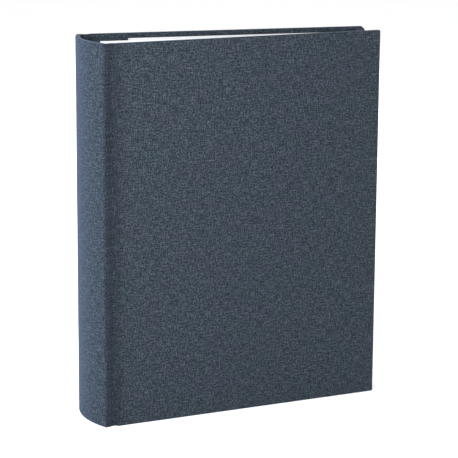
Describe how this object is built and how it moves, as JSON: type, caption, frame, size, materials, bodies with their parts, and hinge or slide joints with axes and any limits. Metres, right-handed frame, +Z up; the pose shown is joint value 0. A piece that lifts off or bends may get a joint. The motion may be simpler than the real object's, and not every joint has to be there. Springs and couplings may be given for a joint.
{
  "type": "scrapbook album",
  "caption": "Cloth-bound scrapbook album standing on its tail, with a rounded spine, flat covers, a ring mechanism on the rear board and leaves hung on its rings.",
  "frame": {"origin": "middle of the underside of the bounding box, on the surface that the album's tail stands on", "axes": "+Z up the spine from tail to head; the spine faces -X and the fore-edge +X; the front cover faces -Y and the rear cover +Y, leaning together by the same angle"},
  "size_m": [0.2582, 0.072, 0.315],
  "materials": {
    "cover_cloth": "matt melange linen book cloth",
    "lining_paper": "matt slate lining paper",
    "board": "raw grey pulp board, hidden",
    "steel": "satin nickel plate",
    "ring_wire": "polished nickel plate",
    "white_sheet": "smooth white card",
    "leaf_paper": "smooth paper leaves in thin sleeves"
  },
  "bodies": {
    "rear_cover": {"rear_board": "board", "rear_cloth": "cover_cloth", "rear_endpaper": "lining_paper", "ring_base": "steel", "base_rivets": "steel", "lever_pins": "steel"},
    "spine": {"spine_board": "board", "spine_cloth": "cover_cloth", "spine_lining": "lining_paper"},
    "front_cover": {"front_board": "board", "front_cloth": "cover_cloth", "front_endpaper": "lining_paper"},
    "curved_half": {"curved_plate": "steel", "curved_rings": "ring_wire"},
    "post_half": {"post_plate": "steel", "ring_posts": "ring_wire"},
    "head_lever": {"head_lever": "steel"},
    "tail_lever": {"tail_lever": "steel"},
    "front_sheet": {"front_sheet": "white_sheet"},
    "leaf_group_1": {"leaf_group_1": "leaf_paper"},
    "leaf_group_2": {"leaf_group_2": "leaf_paper"},
    "leaf_group_3": {"leaf_group_3": "leaf_paper"},
    "leaf_group_4": {"leaf_group_4": "leaf_paper"},
    "leaf_group_5": {"leaf_group_5": "leaf_paper"},
    "leaf_group_6": {"leaf_group_6": "leaf_paper"}
  },
  "joints": [
    {"name": "spine_hinge", "type": "hinge", "parent": "rear_cover", "child": "spine", "pos_m": [-0.11296, 0.03344, 0.1575], "axis": [0, 0, -1], "range_deg": [0, 84]},
    {"name": "cover_hinge", "type": "hinge", "parent": "spine", "child": "front_cover", "pos_m": [-0.11296, -0.03344, 0.1575], "axis": [0, 0, -1], "range_deg": [0, 105]},
    {"name": "ring_opening", "type": "hinge", "parent": "rear_cover", "child": "curved_half", "pos_m": [-0.09767, 0.02935, 0.1575], "axis": [0, 0, -1], "range_deg": [0, 8], "stiffness_Nm_per_rad": 1, "springref_deg": -8.59},
    {"name": "post_opening", "type": "hinge", "parent": "rear_cover", "child": "post_half", "pos_m": [-0.06657, 0.02695, 0.1575], "axis": [0, 0, 1], "range_deg": [0, 8]},
    {"name": "head_lever_pivot", "type": "hinge", "parent": "rear_cover", "child": "head_lever", "pos_m": [-0.08503, 0.02677, 0.299], "axis": [-0.997, 0.077, 0], "range_deg": [0, 30]},
    {"name": "tail_lever_pivot", "type": "hinge", "parent": "rear_cover", "child": "tail_lever", "pos_m": [-0.08503, 0.02677, 0.016], "axis": [0.997, -0.077, 0], "range_deg": [0, 30]},
    {"name": "front_sheet_turn", "type": "hinge", "parent": "rear_cover", "child": "front_sheet", "pos_m": [-0.09313, 0.00242, 0.1575], "axis": [0, 0, -1], "range_deg": [0, 80]},
    {"name": "leaf_group_1_turn", "type": "hinge", "parent": "rear_cover", "child": "leaf_group_1", "pos_m": [-0.09313, 0.00242, 0.1575], "axis": [0, 0, -1], "range_deg": [0, 68]},
    {"name": "leaf_group_2_turn", "type": "hinge", "parent": "rear_cover", "child": "leaf_group_2", "pos_m": [-0.09313, 0.00242, 0.1575], "axis": [0, 0, -1], "range_deg": [0, 54]},
    {"name": "leaf_group_3_turn", "type": "hinge", "parent": "rear_cover", "child": "leaf_group_3", "pos_m": [-0.09313, 0.00242, 0.1575], "axis": [0, 0, -1], "range_deg": [0, 40]},
    {"name": "leaf_group_4_turn", "type": "hinge", "parent": "rear_cover", "child": "leaf_group_4", "pos_m": [-0.09313, 0.00242, 0.1575], "axis": [0, 0, -1], "range_deg": [0, 27]},
    {"name": "leaf_group_5_turn", "type": "hinge", "parent": "rear_cover", "child": "leaf_group_5", "pos_m": [-0.09313, 0.00242, 0.1575], "axis": [0, 0, -1], "range_deg": [0, 15]},
    {"name": "leaf_group_6_turn", "type": "hinge", "parent": "rear_cover", "child": "leaf_group_6", "pos_m": [-0.09313, 0.00242, 0.1575], "axis": [0, 0, -1], "range_deg": [0, 5]}
  ],
  "couplings": [
    {"joint": "post_opening", "follows": "ring_opening", "ratio": 1},
    {"joint": "head_lever_pivot", "follows": "ring_opening", "ratio": 3.75},
    {"joint": "tail_lever_pivot", "follows": "ring_opening", "ratio": 3.75},
    {"joint": "front_sheet_turn", "follows": "cover_hinge", "ratio": 0.7619},
    {"joint": "leaf_group_1_turn", "follows": "cover_hinge", "ratio": 0.64761},
    {"joint": "leaf_group_2_turn", "follows": "cover_hinge", "ratio": 0.51428},
    {"joint": "leaf_group_3_turn", "follows": "cover_hinge", "ratio": 0.38095},
    {"joint": "leaf_group_4_turn", "follows": "cover_hinge", "ratio": 0.25714},
    {"joint": "leaf_group_5_turn", "follows": "cover_hinge", "ratio": 0.14285},
    {"joint": "leaf_group_6_turn", "follows": "cover_hinge", "ratio": 0.04761}
  ]
}
